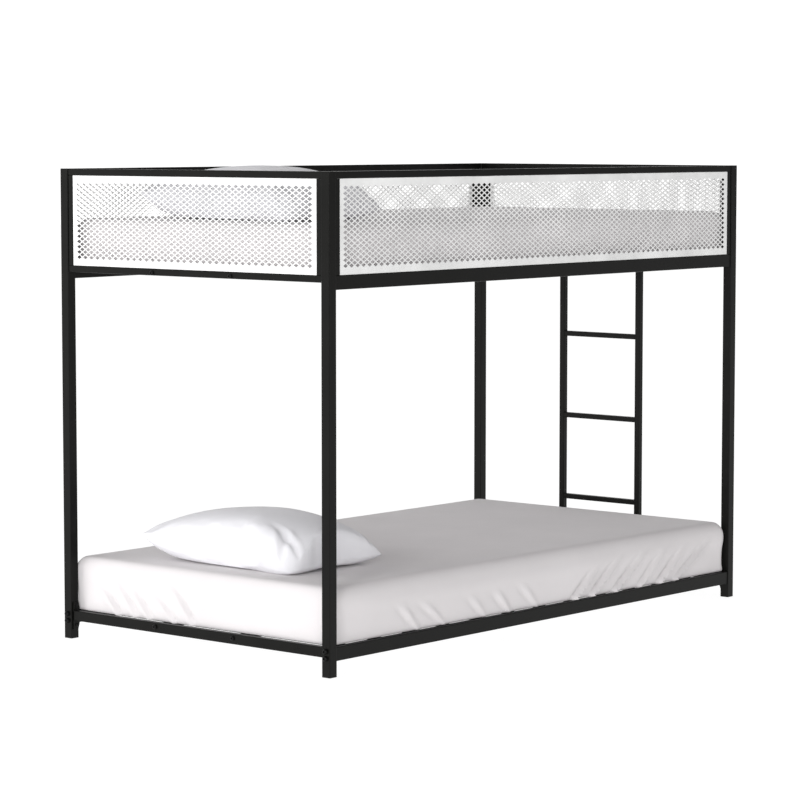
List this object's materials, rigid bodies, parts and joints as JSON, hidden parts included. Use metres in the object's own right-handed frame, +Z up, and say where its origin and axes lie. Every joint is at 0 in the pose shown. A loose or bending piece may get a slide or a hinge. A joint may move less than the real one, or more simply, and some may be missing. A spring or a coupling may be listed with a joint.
{
  "type": "bunk bed with ladder",
  "caption": "Low steel twin bunk bed: square posts, two slatted decks, perforated guards round the upper deck, ladder in the foot end, with mattresses and pillows.",
  "frame": {"origin": "on the floor, under the middle of the bed", "axes": "+X towards the foot end, which holds the ladder; -Y the front; +Z up"},
  "size_m": [1.9866, 1.06, 1.4066],
  "materials": {
    "frame_coat": "satin black powder coat",
    "guard_sheet": "satin white powder coat on perforated sheet",
    "bolt_steel": "black oxide, satin",
    "foot_plastic": "matt moulded plastic",
    "sheet_cotton": "smooth white cotton sheet",
    "pillow_cotton": "smooth white cotton pillowcase"
  },
  "bodies": {
    "frame": {"head_front_post": "frame_coat", "head_front_foot": "foot_plastic", "head_back_post": "frame_coat", "head_back_foot": "foot_plastic", "foot_front_post": "frame_coat", "foot_front_foot": "foot_plastic", "foot_back_post": "frame_coat", "foot_back_foot": "foot_plastic", "upper_front_rail": "frame_coat", "lower_front_rail": "frame_coat", "upper_back_rail": "frame_coat", "lower_back_rail": "frame_coat", "head_deck_rail": "frame_coat", "head_lower_rail": "frame_coat", "foot_deck_rail": "frame_coat", "foot_lower_rail": "frame_coat", "head_guard_top_rail": "frame_coat", "head_guard_front_stile": "frame_coat", "head_guard_back_stile": "frame_coat", "head_guard_panel": "guard_sheet", "foot_guard_top_rail": "frame_coat", "foot_guard_front_stile": "frame_coat", "foot_guard_back_stile": "frame_coat", "foot_guard_panel": "guard_sheet", "front_guard_top_rail": "frame_coat", "front_guard_head_stile": "frame_coat", "front_guard_foot_stile": "frame_coat", "front_guard_panel": "guard_sheet", "back_guard_top_rail": "frame_coat", "back_guard_head_stile": "frame_coat", "back_guard_foot_stile": "frame_coat", "back_guard_panel": "guard_sheet", "ladder_front_rail": "frame_coat", "ladder_back_rail": "frame_coat", "ladder_rung_1": "frame_coat", "ladder_rung_2": "frame_coat", "ladder_rung_3": "frame_coat", "upper_slat_base": "frame_coat", "lower_slat_base": "frame_coat", "head_front_rail_bolt_1": "bolt_steel", "head_front_rail_bolt_2": "bolt_steel", "head_back_rail_bolt_1": "bolt_steel", "head_back_rail_bolt_2": "bolt_steel", "head_upper_front_bar_bolt": "bolt_steel", "head_upper_back_bar_bolt": "bolt_steel", "head_lower_front_bar_bolt": "bolt_steel", "head_lower_back_bar_bolt": "bolt_steel", "foot_front_rail_bolt_1": "bolt_steel", "foot_front_rail_bolt_2": "bolt_steel", "foot_back_rail_bolt_1": "bolt_steel", "foot_back_rail_bolt_2": "bolt_steel", "foot_upper_front_bar_bolt": "bolt_steel", "foot_upper_back_bar_bolt": "bolt_steel", "foot_lower_front_bar_bolt": "bolt_steel", "foot_lower_back_bar_bolt": "bolt_steel"},
    "upper_mattress": {"upper_mattress": "sheet_cotton"},
    "upper_pillow": {"upper_pillow": "pillow_cotton"},
    "lower_mattress": {"lower_mattress": "sheet_cotton"},
    "lower_pillow": {"lower_pillow": "pillow_cotton"}
  },
  "joints": [
    {"name": "upper_mattress_lift", "type": "slide", "parent": "frame", "child": "upper_mattress", "axis": [0, 0, 1], "range_m": [0, 0.3]},
    {"name": "upper_pillow_lift", "type": "slide", "parent": "upper_mattress", "child": "upper_pillow", "axis": [0, 0, 1], "range_m": [0, 0.3]},
    {"name": "lower_mattress_lift", "type": "slide", "parent": "frame", "child": "lower_mattress", "axis": [0, 0, 1], "range_m": [0, 0.15]},
    {"name": "lower_pillow_lift", "type": "slide", "parent": "lower_mattress", "child": "lower_pillow", "axis": [0, 0, 1], "range_m": [0, 0.25]}
  ]
}
